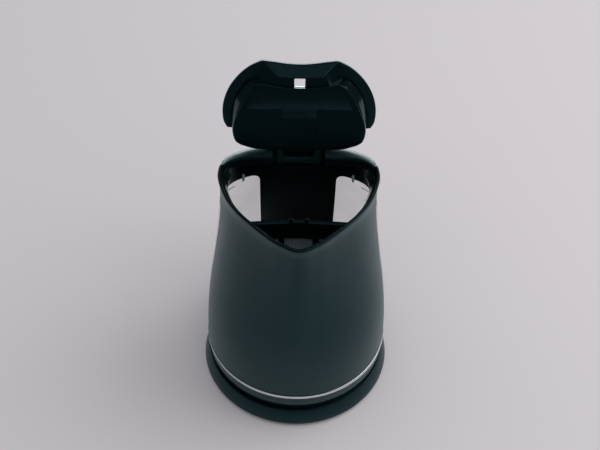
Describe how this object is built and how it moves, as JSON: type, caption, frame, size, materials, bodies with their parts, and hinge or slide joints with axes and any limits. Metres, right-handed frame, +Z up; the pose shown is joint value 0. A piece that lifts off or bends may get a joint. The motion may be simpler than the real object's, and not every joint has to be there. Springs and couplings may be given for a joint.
{
  "type": "electric kettle",
  "caption": "Cordless electric kettle with a V-shaped spout, clear side windows, a hinged lid held open and a round power base.",
  "frame": {"origin": "centre of the base's flat underside; the rubber feet stand 1.5 mm below it", "axes": "+Z up, -Y towards the spout, +Y towards the handle, +X to the kettle's right seen from the spout side's camera"},
  "size_m": [0.16, 0.1991, 0.2683],
  "materials": {
    "satin_black": "satin moulded plastic",
    "gloss_black": "polished moulded plastic",
    "rubber": "soft matt rubber",
    "silver": "bright silver band",
    "steel": "brushed stainless steel",
    "brass": "spring brass",
    "clear_window": "clear plastic",
    "grey_nylon": "grey nylon and silicone",
    "red_lens": "tinted lens",
    "inner_grey": "heat-resistant moulding"
  },
  "bodies": {
    "power_base": {"base_cover": "satin_black", "base_bottom": "satin_black", "foot_front_left": "rubber", "foot_front_right": "rubber", "foot_rear_left": "rubber", "foot_rear_right": "rubber", "base_connector": "gloss_black", "base_contact_ring": "brass", "base_contact_pin": "brass", "base_cord_inlet": "rubber", "base_screw_1": "steel", "base_screw_2": "steel", "base_screw_3": "steel"},
    "connector": {"kettle_connector": "gloss_black", "connector_ring": "brass", "connector_pin": "brass"},
    "kettle": {"body_shell": "satin_black", "bottom_cover": "satin_black", "trim_ring": "silver", "rim_collar": "gloss_black", "rear_deck": "gloss_black", "window_left": "clear_window", "window_right": "clear_window", "filter_frame": "gloss_black", "filter_mesh_left": "grey_nylon", "filter_mesh_centre": "grey_nylon", "filter_mesh_right": "grey_nylon", "hinge_pin": "steel", "heating_plate": "steel", "plate_seal": "grey_nylon", "heating_element": "steel", "thermostat_control": "inner_grey", "handle_shell": "satin_black", "handle_grip": "rubber", "handle_screw_top": "steel", "handle_screw_bottom": "steel", "steam_tube": "grey_nylon", "steam_sensor": "inner_grey", "indicator_lens": "red_lens", "cover_screw_1": "steel", "cover_screw_2": "steel", "cover_screw_3": "steel"},
    "lid": {"lid_cover": "satin_black", "lid_liner": "gloss_black", "lid_hinge_arms": "gloss_black"},
    "switch": {"switch_lever": "gloss_black"}
  },
  "joints": [
    {"name": "kettle_lift", "type": "slide", "parent": "power_base", "child": "connector", "axis": [0, 0, 1], "range_m": [0, 0.1]},
    {"name": "kettle_swivel", "type": "hinge", "parent": "connector", "child": "kettle", "pos_m": [0, 0, 0.03], "axis": [0, 0, 1], "continuous": true},
    {"name": "lid_hinge", "type": "hinge", "parent": "kettle", "child": "lid", "pos_m": [0, 0.041, 0.1945], "axis": [1, 0, 0], "range_deg": [0, 108]},
    {"name": "power_switch", "type": "hinge", "parent": "kettle", "child": "switch", "pos_m": [0, 0.10628, 0.086], "axis": [1, 0, 0], "range_deg": [-14, 0]}
  ]
}
